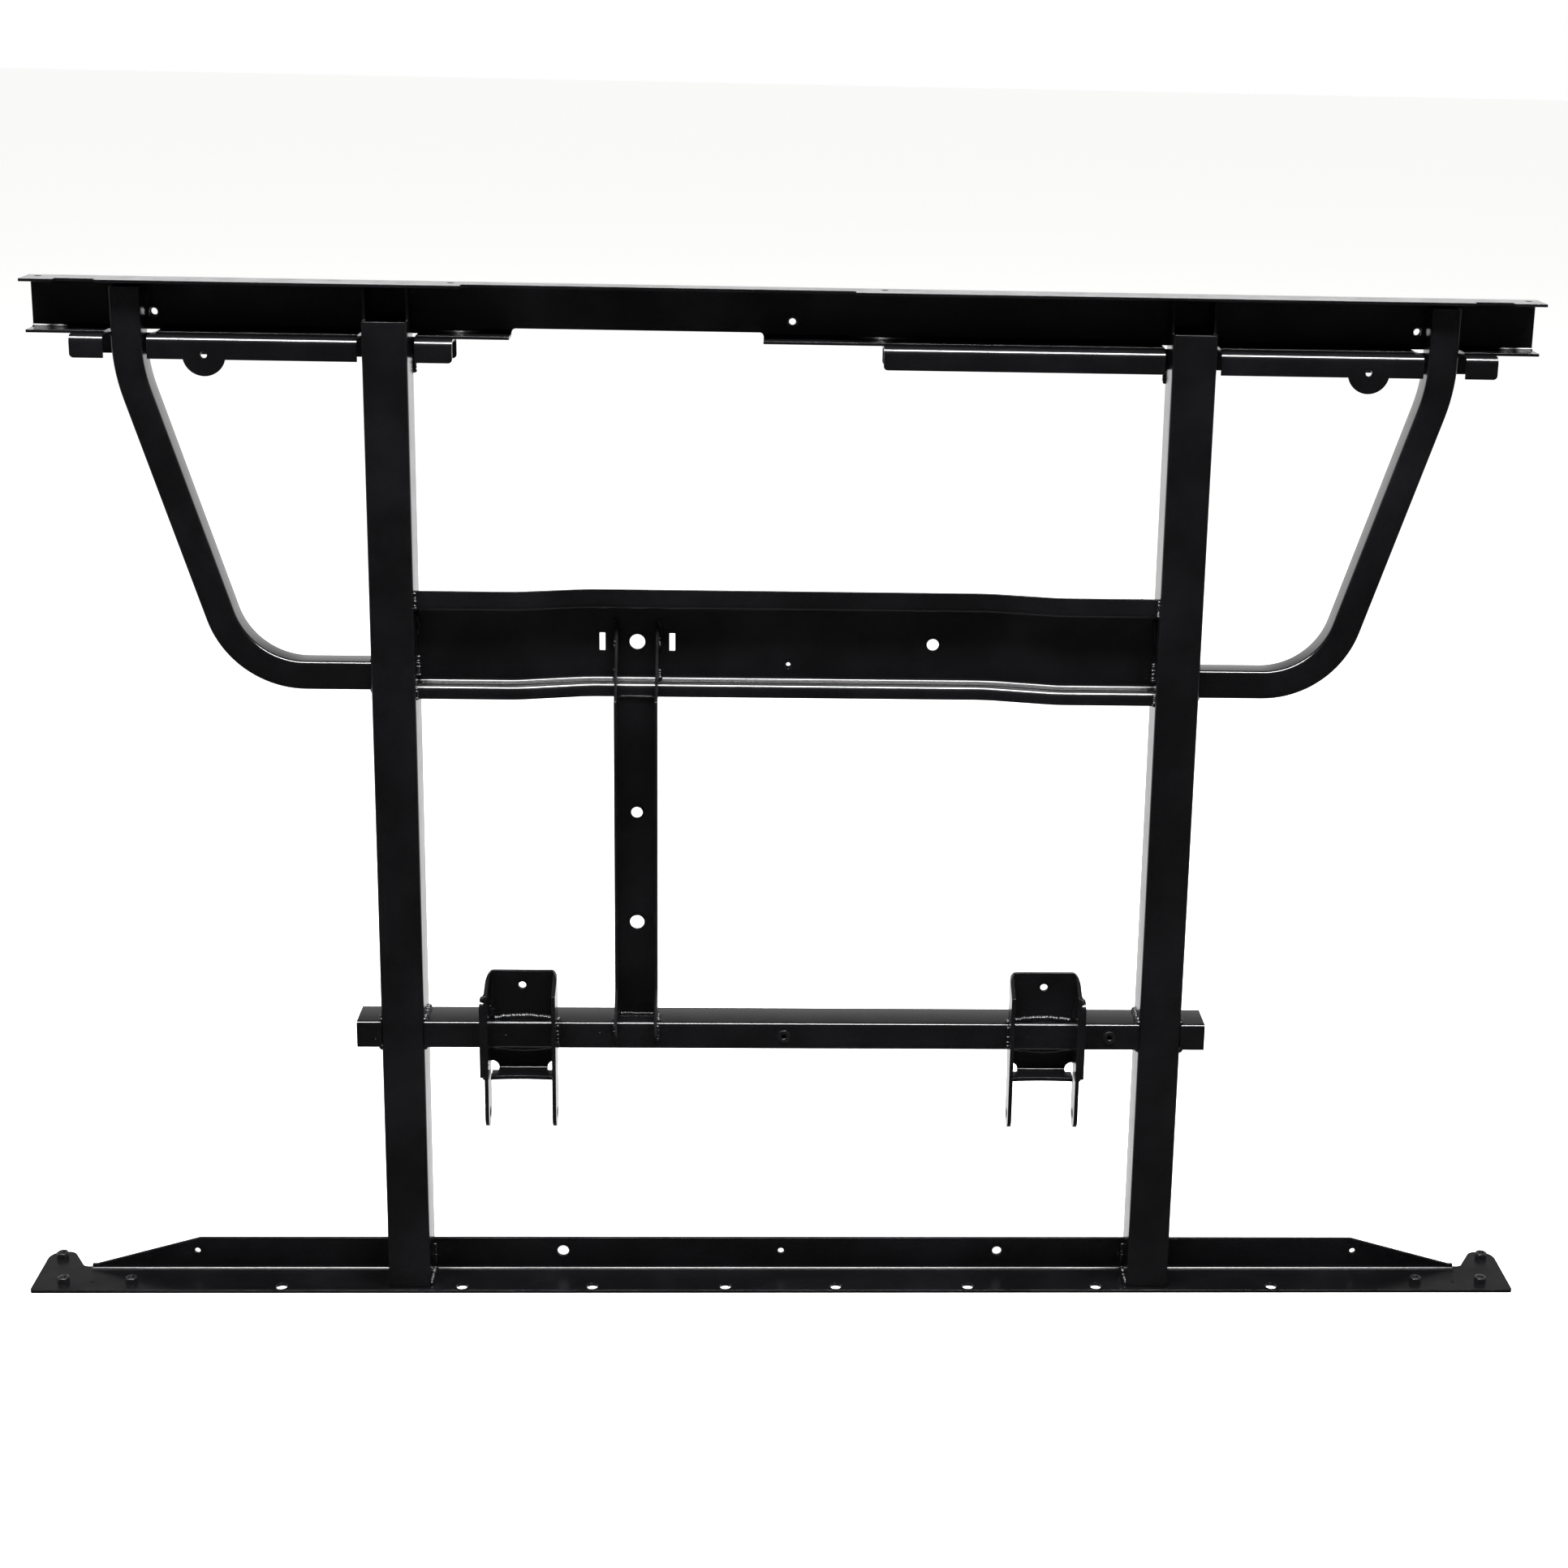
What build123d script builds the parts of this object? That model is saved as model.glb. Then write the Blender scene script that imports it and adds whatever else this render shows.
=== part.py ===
from build123d import *
import os

# Welded steel support frame for the tipping cargo box of a utility vehicle.
# All sizes are millimetres. X runs across the frame, Z runs up the two rails
# from the rear angle to the front beam, and -Y is the open, underside face.
# The origin is on the rear angle's underside, at mid-width, on the rails'
# middle plane. The frame is symmetric about X = 0 except where a comment says
# that a piece or a cut isn't.

# Overall sizes
frame_height = 925.0
rear_width = 1372.0
beam_width = 1282.0
rail_spacing = 683.0

# Tubes
rail_size = 38.1
rail_wall = 2.1
side_tube_size = 25.4
side_tube_wall = 2.0
pivot_tube_height = 25.4
pivot_tube_wall = 2.5
tube_corner = 3.0

# Sheet gauges and inside bend radii
light_sheet = 2.5
light_bend = 4.0
angle_sheet = 3.0
angle_bend = 3.0
bracket_sheet = 3.5
bracket_bend = 3.0
edge_round = 3.5

# Front beam, a channel with an upper flange deeper than its lower one
beam_height = 46.5
beam_top_depth = 38.1
beam_bottom_depth = 25.4
beam_hole = 8.5
beam_hole_spacing = 540.4
beam_hole_drop = 30.5
rail_notch_gap = 5.0
side_notch_inner_gap = 12.0
side_notch_outer_gap = 5.5
# The web's cut and the upper flange's relief are both off to one side.
web_cut = (-239.0, -24.6)
web_cut_height = 6.8
flange_relief = (-278.0, 53.0)
flange_relief_depth = 11.0
flange_notch = (580.0, 613.0)
flange_notch_depth = 8.0
flange_hole = 6.0
# The outer two flange holes match; the inner two don't.
flange_holes_x = (-630.5, -288.0, 78.0, 630.5)
flange_hole_inset = 21.0

# Lower channels, which hang open downwards under the front beam. The right one is longer.
lower_channel_height = 19.5
lower_channel_depth = 33.5
lower_channel_left = (-604.0, -286.0)
lower_channel_right = (77.5, 604.0)
lower_channel_tube_gap = 5.5
tab_spacing = 492.7
tab_radius = 18.0
tab_centre_rise = 4.0
tab_hole = 5.5

# Rails
rail_front_cut = 28.7
rail_side_kept = 26.0
rail_notch_radius = 10.0
rail_notch_rise = 3.5

# Side tubes: a straight head, a slope and a foot that meets the rail
side_head_inset = 82.9
side_knee_drop = 75.5
side_foot_reach = 112.85
side_foot_z = 583.7
side_knee_bend = 150.0
side_foot_bend = 75.0

# Mid channel, a hat section whose ends stand nearer the underside face
mid_bottom = 565.5
mid_height = 96.5
mid_upper_lip = 18.5
mid_lower_lip = 12.3
mid_depth = 17.5
mid_end_offset = 14.0
mid_bend_inner_x = 174.0
mid_bend_outer_x = 235.0
mid_bend_radius = 80.0
latch_hole = 13.5
latch_hole_z = 611.5
# The pilot hole has no twin on the left, where the latch hole is.
pilot_hole = 10.5
pilot_hole_x = 127.5
clip_hole = 5.6
clip_hole_z = 591.4
slot_width = 5.0
slot_length = 16.0
slot_spread = 61.2

# Latch strut, a channel off to one side, open towards the underside face
strut_x = -132.8
strut_width = 38.1
strut_depth = 20.0
strut_hole_upper = 10.0
strut_hole_upper_z = 458.6
strut_hole_lower = 12.7
strut_hole_lower_z = 355.1
gusset_top_z = 632.0
gusset_toe_z = 563.0
gusset_lap = 25.0
flare_reach = 16.0
flare_top_z = 297.5
flare_tip_z = 272.0
flare_bottom_z = 251.0

# Pivot tube, with one rivet nut at its middle and one on its right half only
pivot_z = 253.8
pivot_stub_length = 21.95
rivet_nut_x = (0.0, 295.5)

# Hinge brackets
hinge_spacing = 470.0
hinge_width = 63.5
hinge_top_z = 313.0
hinge_web_front = 30.0
hinge_ear_reach = 60.0
hinge_slope_end_z = 300.0
hinge_pin_z = 184.0
hinge_arm_depth = 25.4
hinge_pin_hole = 9.5
hinge_shelf_z = 219.5
hinge_shelf_depth = 20.0
hinge_shelf_hollow = 1.5
hinge_shelf_gap = 1.0
hinge_relief_hole = 13.0
hinge_relief_reach = 10.5
hinge_top_hole = 6.5
hinge_top_hole_drop = 14.0
hinge_top_corner = 6.0
tube_seat_gap = 0.3

# Hinge doublers
doubler_sheet = 4.0
doubler_top_z = 295.0
doubler_bottom_z = 221.0
doubler_tube_gap = 0.3
doubler_round_share = 0.45

# Rear angle
angle_height = 33.5
angle_depth = 45.5
angle_full_x = 540.0
angle_taper_x = 636.0
angle_taper_z = 6.5
angle_hole_z = 20.5
angle_end_holes = (542.5, 5.0)
# These three differ in size, so the upright leg isn't symmetric.
angle_drain_hole = (-203.7, 10.5)
angle_bolt_hole = (203.7, 8.5)
angle_centre_hole = (0.0, 5.6)
floor_holes_x = (51.2, 174.2, 294.0, 459.0)
floor_hole = 10.5
floor_hole_inset = 8.0
pip_holes_x = (-633.0, -531.0, -224.0, -19.0, 19.0, 224.0, 633.0)
pip_hole = 3.0
pip_hole_inset = 15.5
end_tab_x = 640.0
end_tab_reach = 31.0
end_tab_top_x = 664.0
end_tab_valley_x = 648.0
end_tab_round = 13.0
end_tab_shoulder = 10.0
end_tab_valley = 6.0

# Weld nuts and rivet nuts
m6_nut_flats = 10.0
m6_nut_height = 5.0
m6_thread_bore = 5.0
m6_clearance_hole = 6.6
m8_nut_flats = 13.0
m8_nut_height = 6.5
m8_thread_bore = 6.8
m5_nut_flats = 8.0
m5_nut_height = 4.0
m5_thread_bore = 4.2
nut_corner_cut = 0.7
rear_nuts_x = (597.5, 659.5)
rear_nut_inset = 16.5
tab_nut_x = 673.0
tab_nut_reach = 21.0
rivet_nut_body = 9.0
rivet_nut_flange = 12.0
rivet_nut_flange_thickness = 0.8
rivet_nut_length = 12.0
rivet_nut_bore = 5.0

# Limits for the cutters and corners that every maker uses
cut_margin = 1.0
least_corner = 0.5
far = 2000.0

# Planes and faces that several pieces share
back = rail_size / 2
front = -rail_size / 2
rail_x = rail_spacing / 2
rail_inner_x = rail_x - rail_size / 2
rail_outer_x = rail_x + rail_size / 2
side_tube_y = back - side_tube_size / 2
side_head_x = beam_width / 2 - side_head_inset
side_knee_z = frame_height - side_knee_drop
side_foot_x = rail_outer_x + side_foot_reach
beam_bottom = frame_height - beam_height
beam_inside_top = frame_height - light_sheet
beam_back = back + light_sheet
pivot_top = pivot_z + pivot_tube_height / 2
pivot_bottom = pivot_z - pivot_tube_height / 2
mid_web_front = back - light_sheet
mid_lip_front = back - mid_depth
angle_back = back + angle_sheet
angle_front = angle_back - angle_depth
strut_web_back = mid_lip_front + light_sheet
strut_front = strut_web_back - strut_depth
hinge_web_face = back - hinge_web_front
hinge_web_back = hinge_web_face + bracket_sheet
hinge_ear_front = back - hinge_ear_reach
hinge_x = hinge_spacing / 2
hinge_arm_bottom = hinge_pin_z - hinge_arm_depth / 2
hinge_pin_y = hinge_ear_front + hinge_arm_depth / 2
rear_nut_places = [(x, angle_front + rear_nut_inset) for x in rear_nuts_x]
rear_nut_places.append((tab_nut_x, back + tab_nut_reach))
on_base = (Align.CENTER, Align.CENTER, Align.MIN)


def block(x_range, y_range, z_range):
    """Box between pairs of faces."""
    size = [high - low for low, high in (x_range, y_range, z_range)]
    corner = (x_range[0], y_range[0], z_range[0])
    return Pos(*corner) * Box(*size, align=(Align.MIN, Align.MIN, Align.MIN))


def sheet_profile(path, sheet, bend):
    """Section of a folded sheet: one surface follows the path, the sheet is to its left."""
    points = [Vector(*point) for point in path]
    runs = [(end - start).normalized() for start, end in zip(points, points[1:])]
    sides = [Vector(-run.Y, run.X) for run in runs]
    inner = [points[0] + sides[0] * sheet]
    near_radii = []
    far_radii = []
    for corner, before, after in zip(points[1:-1], range(len(runs)), range(1, len(runs))):
        mitre = (sides[before] + sides[after]) / (1 + sides[before].dot(sides[after]))
        inner.append(corner + mitre * sheet)
        turns_left = runs[before].cross(runs[after]).Z > 0
        near_radii.append(bend + sheet if turns_left else bend)
        far_radii.append(bend if turns_left else bend + sheet)
    inner.append(points[-1] + sides[-1] * sheet)
    radii = [0, *near_radii, 0, 0, *reversed(far_radii), 0]
    return make_face(FilletPolyline(*points, *reversed(inner), radius=radii, close=True))


def along_x(profile, x_range):
    """Extrusion along X of a section drawn in Y and Z."""
    return extrude(Plane.YZ.offset(x_range[0]) * profile, x_range[1] - x_range[0])


def outline_along_x(points, x_range, radii=0):
    """Extrusion along X of a closed outline of Y and Z points."""
    radii = radii or [0] * len(points)
    return along_x(make_face(FilletPolyline(*points, radius=radii, close=True)), x_range)


def outline_along_y(points, y_range, radii=0):
    """Extrusion along Y of a closed outline of X and Z points."""
    radii = radii or [0] * len(points)
    face = make_face(FilletPolyline(*points, radius=radii, close=True))
    drawn = Plane.XZ.offset(-y_range[1]) * face
    return extrude(drawn, y_range[1] - y_range[0])


def outline_along_z(points, z_range, radii=0):
    """Extrusion along Z of a closed outline of X and Y points."""
    radii = radii or [0] * len(points)
    face = make_face(FilletPolyline(*points, radius=radii, close=True))
    return extrude(Plane.XY.offset(z_range[0]) * face, z_range[1] - z_range[0])


def tube_outlines(width, height, wall):
    """Outer and inner outlines of a square or rectangular tube with round corners."""
    inside_corner = max(tube_corner - wall, least_corner)
    outside = RectangleRounded(width, height, tube_corner)
    return outside, RectangleRounded(width - 2 * wall, height - 2 * wall, inside_corner)


def hole_y(x, z, diameter):
    """Cutter for a hole that goes right through along Y."""
    return Pos(x, 0, z) * Rot(90, 0, 0) * Cylinder(diameter / 2, far)


def hole_z(x, y, diameter, z_range):
    """Cutter for a hole along Z that crosses one wall."""
    height = z_range[1] - z_range[0]
    middle = (z_range[0] + z_range[1]) / 2
    return Pos(x, y, middle) * Cylinder(diameter / 2, height)


def hex_nut(flats, height, bore):
    """Weld nut on its seat, its thread along Z, its outer corners turned off."""
    corner_radius = flats / 3 ** 0.5
    body = extrude(RegularPolygon(corner_radius, 6), height)
    straight = height - nut_corner_cut
    turned = Cylinder(corner_radius, straight, align=on_base)
    turned += Pos(0, 0, straight) * Cone(
        corner_radius, corner_radius - 2 * nut_corner_cut, nut_corner_cut, align=on_base
    )
    return (body & turned) - Cylinder(bore / 2, far)


def span(side, near, away):
    """X range between two distances from the middle plane, on one side of it."""
    return sorted((side * near, side * away))


def mirrored(piece):
    """The same piece on the other side of the middle plane."""
    return mirror(piece, about=Plane.YZ)


def save(name, piece):
    export_step(piece, f"parts/{name}.step")


def make_front_beam():
    path = [
        (beam_back - beam_bottom_depth, beam_bottom),
        (beam_back, beam_bottom),
        (beam_back, frame_height),
        (beam_back - beam_top_depth, frame_height),
    ]
    ends = (-beam_width / 2, beam_width / 2)
    beam = along_x(sheet_profile(path, light_sheet, light_bend), ends)
    lower_flange = (
        beam_bottom - cut_margin,
        beam_bottom + light_sheet + light_bend + cut_margin,
    )
    flange_zone = (beam_inside_top - cut_margin, frame_height + cut_margin)
    for side in (-1, 1):
        rail_notch = span(side, rail_inner_x - rail_notch_gap, rail_outer_x + rail_notch_gap)
        tube_notch = span(
            side,
            side_head_x - side_tube_size / 2 - side_notch_inner_gap,
            side_head_x + side_tube_size / 2 + side_notch_outer_gap,
        )
        for notch in (rail_notch, tube_notch):
            beam -= block(notch, (-far, back), lower_flange)
        notch_back = beam_back - beam_top_depth + flange_notch_depth
        beam -= block(span(side, *flange_notch), (-far, notch_back), flange_zone)
    relief_back = beam_back - beam_top_depth + flange_relief_depth
    relief_outline = [
        (flange_relief[0], -far),
        (flange_relief[1], -far),
        (flange_relief[1], relief_back),
        (flange_relief[0], relief_back),
    ]
    beam -= outline_along_z(relief_outline, flange_zone, [0, 0, edge_round, edge_round])
    web_cut_top = beam_bottom + web_cut_height
    web_outline = [
        (web_cut[0], beam_bottom - cut_margin),
        (web_cut[1], beam_bottom - cut_margin),
        (web_cut[1], web_cut_top),
        (web_cut[0], web_cut_top),
    ]
    beam -= outline_along_y(web_outline, (-far, far), [0, 0, edge_round, edge_round])
    for x in (-beam_hole_spacing, 0, beam_hole_spacing):
        beam -= hole_y(x, frame_height - beam_hole_drop, beam_hole)
    for x in flange_holes_x:
        y = beam_back - beam_top_depth + flange_hole_inset
        beam -= hole_z(x, y, flange_hole, flange_zone)
    return beam


def make_beam_nuts():
    nuts = []
    for x in (-beam_hole_spacing, 0, beam_hole_spacing):
        nut = Rot(-90, 0, 0) * hex_nut(m8_nut_flats, m8_nut_height, m8_thread_bore)
        nuts.append(Pos(x, beam_back, frame_height - beam_hole_drop) * nut)
    return Compound(children=nuts)


def make_lower_channel(x_range):
    bottom = beam_bottom - lower_channel_height
    leg_front = beam_back - lower_channel_depth
    path = [(beam_back, bottom), (beam_back, beam_bottom), (leg_front, beam_bottom), (leg_front, bottom)]
    channel = along_x(sheet_profile(path, light_sheet, light_bend), x_range)
    end_outline = [
        (x_range[0], bottom),
        (x_range[1], bottom),
        (x_range[1], frame_height),
        (x_range[0], frame_height),
    ]
    channel &= outline_along_y(end_outline, (-far, far), [edge_round, edge_round, 0, 0])
    side = -1 if x_range[0] < 0 else 1
    tab_z = bottom + tab_centre_rise
    tab = Rot(-90, 0, 0) * Cylinder(tab_radius, light_sheet, align=on_base)
    tab = Pos(side * tab_spacing, leg_front, tab_z) * tab
    flat_top = beam_bottom - light_sheet - light_bend
    channel += tab & block((-far, far), (-far, far), (0, flat_top))
    channel -= hole_y(side * tab_spacing, tab_z, tab_hole)
    # The tubes stand in notches that leave only the channel's back leg whole.
    for middle, size, gap in (
        (rail_x, rail_size, rail_notch_gap),
        (side_head_x, side_tube_size, lower_channel_tube_gap),
    ):
        notch = span(side, middle - size / 2 - gap, middle + size / 2 + gap)
        channel -= block(notch, (-far, back), (0, frame_height))
    return channel


def make_rail(side, front_beam):
    outside, inside = tube_outlines(rail_size, rail_size, rail_wall)
    section = outside - inside
    rail = extrude(Plane.XY.offset(angle_sheet) * section, beam_inside_top - angle_sheet)
    rail -= block(
        (-far, far), (-far, back - rail_side_kept), (beam_inside_top - rail_front_cut, far)
    )
    rail = Pos(side * rail_x, 0, 0) * rail
    notch_z = beam_inside_top + rail_notch_rise
    notch = Pos(side * rail_x, back, notch_z) * Rot(90, 0, 0) * Cylinder(rail_notch_radius, rail_size)
    # The foot's back edge is relieved so that it clears the rear angle's inside bend.
    foot_relief = block((-far, far), (back - angle_bend, far), (0, angle_sheet + angle_bend))
    return rail - notch - foot_relief - front_beam


def make_side_tube():
    head_z = beam_inside_top - light_bend
    path = FilletPolyline(
        (side_head_x, side_tube_y, head_z),
        (side_head_x, side_tube_y, side_knee_z),
        (side_foot_x, side_tube_y, side_foot_z),
        (rail_outer_x, side_tube_y, side_foot_z),
        radius=[side_knee_bend, side_foot_bend],
    )
    start = Plane(path @ 0, x_dir=(1, 0, 0), z_dir=path % 0)
    outside, inside = tube_outlines(side_tube_size, side_tube_size, side_tube_wall)
    return sweep(start * outside, path) - sweep(start * inside, path)


def mid_channel_path():
    """The channel's line in plan, which steps towards the underside face at both ends."""
    return FilletPolyline(
        (-rail_inner_x, -mid_end_offset, 0),
        (-mid_bend_outer_x, -mid_end_offset, 0),
        (-mid_bend_inner_x, 0, 0),
        (mid_bend_inner_x, 0, 0),
        (mid_bend_outer_x, -mid_end_offset, 0),
        (rail_inner_x, -mid_end_offset, 0),
        radius=[mid_bend_radius] * 4,
    )


def make_mid_channel():
    top = mid_bottom + mid_height
    flange_under = top - mid_upper_lip
    flange_over = mid_bottom + mid_lower_lip
    section = [
        (mid_lip_front, top),
        (mid_lip_front, flange_under),
        (mid_web_front, flange_under),
        (mid_web_front, flange_over),
        (mid_lip_front, flange_over),
        (mid_lip_front, mid_bottom),
    ]
    profile = sheet_profile(section, light_sheet, light_bend)
    path = mid_channel_path()
    start = Plane((-rail_inner_x, -mid_end_offset, 0), x_dir=(0, 1, 0), z_dir=(1, 0, 0))
    channel = sweep(start * profile, path)
    channel -= hole_y(strut_x, latch_hole_z, latch_hole)
    channel -= hole_y(pilot_hole_x, latch_hole_z, pilot_hole)
    channel -= hole_y(0, clip_hole_z, clip_hole)
    for x in (strut_x - slot_spread / 2, strut_x + slot_spread / 2):
        channel -= block(
            (x - slot_width / 2, x + slot_width / 2),
            (-far, far),
            (latch_hole_z - slot_length / 2, latch_hole_z + slot_length / 2),
        )
    return channel


def make_mid_nut():
    nut = Rot(-90, 0, 0) * hex_nut(m5_nut_flats, m5_nut_height, m5_thread_bore)
    return Pos(0, back, clip_hole_z) * nut


def make_latch_strut(mid_channel):
    low_x = strut_x - strut_width / 2
    high_x = strut_x + strut_width / 2
    plan = [
        (low_x, strut_front),
        (low_x, strut_web_back),
        (high_x, strut_web_back),
        (high_x, strut_front),
    ]
    profile = sheet_profile(list(reversed(plan)), light_sheet, light_bend)
    strut = extrude(Plane.XY.offset(pivot_top) * profile, mid_bottom - pivot_top)
    wall_back = strut_web_back - light_sheet - light_bend
    flange_over = mid_bottom + mid_lower_lip
    gusset = [
        (strut_front, gusset_toe_z - gusset_lap),
        (strut_front, gusset_toe_z),
        (mid_web_front, gusset_top_z),
        (mid_web_front, flange_over),
        (mid_lip_front, flange_over),
        (mid_lip_front, mid_bottom),
        (wall_back, mid_bottom),
        (wall_back, gusset_toe_z - gusset_lap),
    ]
    flare = [
        (strut_front, flare_top_z + gusset_lap),
        (strut_front, flare_top_z),
        (strut_front - flare_reach, flare_tip_z),
        (front, flare_bottom_z),
        (front, pivot_top),
        (wall_back, pivot_top),
        (wall_back, flare_top_z + gusset_lap),
    ]
    for x in (low_x, high_x - light_sheet):
        for outline in (gusset, flare):
            strut += outline_along_x(outline, (x, x + light_sheet))
    strut -= mid_channel
    strut -= hole_y(strut_x, strut_hole_upper_z, strut_hole_upper)
    strut -= hole_y(strut_x, strut_hole_lower_z, strut_hole_lower)
    return strut


def make_pivot_tube(x_range):
    outside, inside = tube_outlines(rail_size, pivot_tube_height, pivot_tube_wall)
    tube = along_x(Pos(0, pivot_z) * (outside - inside), x_range)
    for x in rivet_nut_x:
        hole = Cylinder(rivet_nut_body / 2, 2 * pivot_tube_wall)
        tube -= Pos(x, front, pivot_z) * Rot(90, 0, 0) * hole
    return tube


def make_rivet_nuts():
    nuts = []
    for x in rivet_nut_x:
        nut = Cylinder(rivet_nut_flange / 2, rivet_nut_flange_thickness, align=on_base)
        nut += Cylinder(rivet_nut_body / 2, rivet_nut_length, align=on_base)
        nut -= Cylinder(rivet_nut_bore / 2, far)
        nuts.append(Pos(x, front - rivet_nut_flange_thickness, pivot_z) * Rot(-90, 0, 0) * nut)
    return Compound(children=nuts)


def hinge_side_outline():
    """Side view of a hinge bracket: slanted head, straight front, round arm end."""
    arm_back = hinge_ear_front + hinge_arm_depth
    plate = make_face(
        Polyline(
            (hinge_web_back, hinge_top_z),
            (hinge_web_face - bracket_bend, hinge_top_z),
            (hinge_ear_front, hinge_slope_end_z),
            (hinge_ear_front, hinge_pin_z),
            (arm_back, hinge_pin_z),
            (arm_back, hinge_shelf_z - bracket_sheet),
            (hinge_web_back, hinge_shelf_z - bracket_sheet),
            close=True,
        )
    )
    return plate + Pos(hinge_pin_y, hinge_pin_z) * Circle(hinge_arm_depth / 2)


def hinge_shelf(x_range):
    """The web below the tube, folded forward into a shelf with a hollow front edge."""
    shelf_front = hinge_web_face - hinge_shelf_depth
    path = [
        (hinge_web_face, pivot_bottom),
        (hinge_web_face, hinge_shelf_z),
        (shelf_front, hinge_shelf_z),
    ]
    shelf = along_x(sheet_profile(path, bracket_sheet, bracket_bend), x_range)
    half = (x_range[1] - x_range[0]) / 2
    hollow_radius = (half ** 2 + hinge_shelf_hollow ** 2) / (2 * hinge_shelf_hollow)
    centre_y = shelf_front + hinge_shelf_hollow - hollow_radius
    return shelf - Pos(hinge_x, centre_y, hinge_shelf_z) * Cylinder(hollow_radius, far)


def make_hinge_bracket():
    inner_x = hinge_x - hinge_width / 2
    outer_x = hinge_x + hinge_width / 2
    between_ears = (inner_x + bracket_sheet, outer_x - bracket_sheet)
    plan = [
        (outer_x, hinge_ear_front),
        (outer_x, hinge_web_back),
        (inner_x, hinge_web_back),
        (inner_x, hinge_ear_front),
    ]
    profile = sheet_profile(plan, bracket_sheet, bracket_bend)
    bracket = extrude(Plane.XY.offset(hinge_arm_bottom) * profile, hinge_top_z - hinge_arm_bottom)
    bracket &= along_x(hinge_side_outline(), (inner_x, outer_x))
    front_outline = [
        (inner_x, hinge_arm_bottom),
        (outer_x, hinge_arm_bottom),
        (outer_x, hinge_top_z),
        (inner_x, hinge_top_z),
    ]
    corners = [0, 0, hinge_top_corner, hinge_top_corner]
    bracket &= outline_along_y(front_outline, (-far, far), corners)
    bracket -= block(between_ears, (hinge_web_face - bracket_bend, far), (0, pivot_bottom))
    shelf_range = (between_ears[0] + hinge_shelf_gap, between_ears[1] - hinge_shelf_gap)
    web_sides = block(between_ears, (hinge_web_face, hinge_web_back), (hinge_shelf_z, pivot_bottom))
    bracket += hinge_shelf(shelf_range) + web_sides
    bracket -= block((-far, far), (front, far), (pivot_bottom - tube_seat_gap, pivot_top))
    for x in between_ears:
        relief = Rot(90, 0, 0) * Cylinder(hinge_relief_hole / 2, hinge_relief_reach)
        bracket -= Pos(x, hinge_web_face, hinge_shelf_z) * relief
    bracket -= hole_y(hinge_x, hinge_top_z - hinge_top_hole_drop, hinge_top_hole)
    pin_hole = Rot(0, 90, 0) * Cylinder(hinge_pin_hole / 2, far)
    return bracket - Pos(hinge_x, hinge_pin_y, hinge_pin_z) * pin_hole


def make_hinge_doubler():
    face_x = hinge_x + hinge_width / 2
    doubler_back = front - doubler_tube_gap
    outline = [
        (hinge_ear_front, doubler_bottom_z),
        (doubler_back, doubler_bottom_z),
        (doubler_back, doubler_top_z),
        (hinge_ear_front, doubler_top_z),
    ]
    top_round = doubler_round_share * (doubler_back - hinge_ear_front)
    radii = [edge_round, edge_round, top_round, top_round]
    return outline_along_x(outline, (face_x, face_x + doubler_sheet), radii)


def make_rear_angle():
    path = [(angle_front, 0), (angle_back, 0), (angle_back, angle_height)]
    angle = along_x(sheet_profile(path, angle_sheet, angle_bend), (-end_tab_x, end_tab_x))
    half = rear_width / 2
    taper = [
        (angle_full_x, angle_height),
        (angle_taper_x, angle_taper_z),
        (half, angle_taper_z),
        (half, angle_height + cut_margin),
        (angle_full_x, angle_height + cut_margin),
    ]
    tab = outline_along_z(
        [
            (end_tab_x - angle_depth, angle_front),
            (half, angle_front),
            (half, back + end_tab_reach),
            (end_tab_top_x, back + end_tab_reach),
            (end_tab_valley_x, angle_back),
            (end_tab_x - angle_bend, angle_back),
            (end_tab_x - angle_bend, back - angle_bend),
            (end_tab_x - angle_depth, back - angle_bend),
        ],
        (0, angle_sheet),
        [0, edge_round, end_tab_round, end_tab_shoulder, end_tab_valley, 0, 0, 0],
    )
    taper_cut = outline_along_y(taper, (-far, far))
    for piece in (tab, mirrored(tab)):
        angle += piece
    for piece in (taper_cut, mirrored(taper_cut)):
        angle -= piece
    end_x, end_hole = angle_end_holes
    for x, diameter in (
        (-end_x, end_hole),
        (end_x, end_hole),
        angle_drain_hole,
        angle_bolt_hole,
        angle_centre_hole,
    ):
        angle -= hole_y(x, angle_hole_z, diameter)
    through_leg = (-cut_margin, angle_sheet + cut_margin)
    for x in pip_holes_x:
        angle -= hole_z(x, angle_front + pip_hole_inset, pip_hole, through_leg)
    for x in floor_holes_x:
        for side in (-1, 1):
            y = angle_front + floor_hole_inset
            angle -= hole_z(side * x, y, floor_hole, through_leg)
    for x, y in rear_nut_places:
        for side in (-1, 1):
            angle -= hole_z(side * x, y, m6_clearance_hole, through_leg)
    return angle


def make_rear_nuts(side):
    nuts = []
    for x, y in rear_nut_places:
        nut = hex_nut(m6_nut_flats, m6_nut_height, m6_thread_bore)
        nuts.append(Pos(side * x, y, angle_sheet) * nut)
    return Compound(children=nuts)


os.makedirs("parts", exist_ok=True)

front_beam = make_front_beam()
save("front_beam", front_beam)
save("rear_angle", make_rear_angle())
save("front_beam_weld_nuts", make_beam_nuts())
save("lower_channel_left", make_lower_channel(lower_channel_left))
save("lower_channel_right", make_lower_channel(lower_channel_right))

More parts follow.
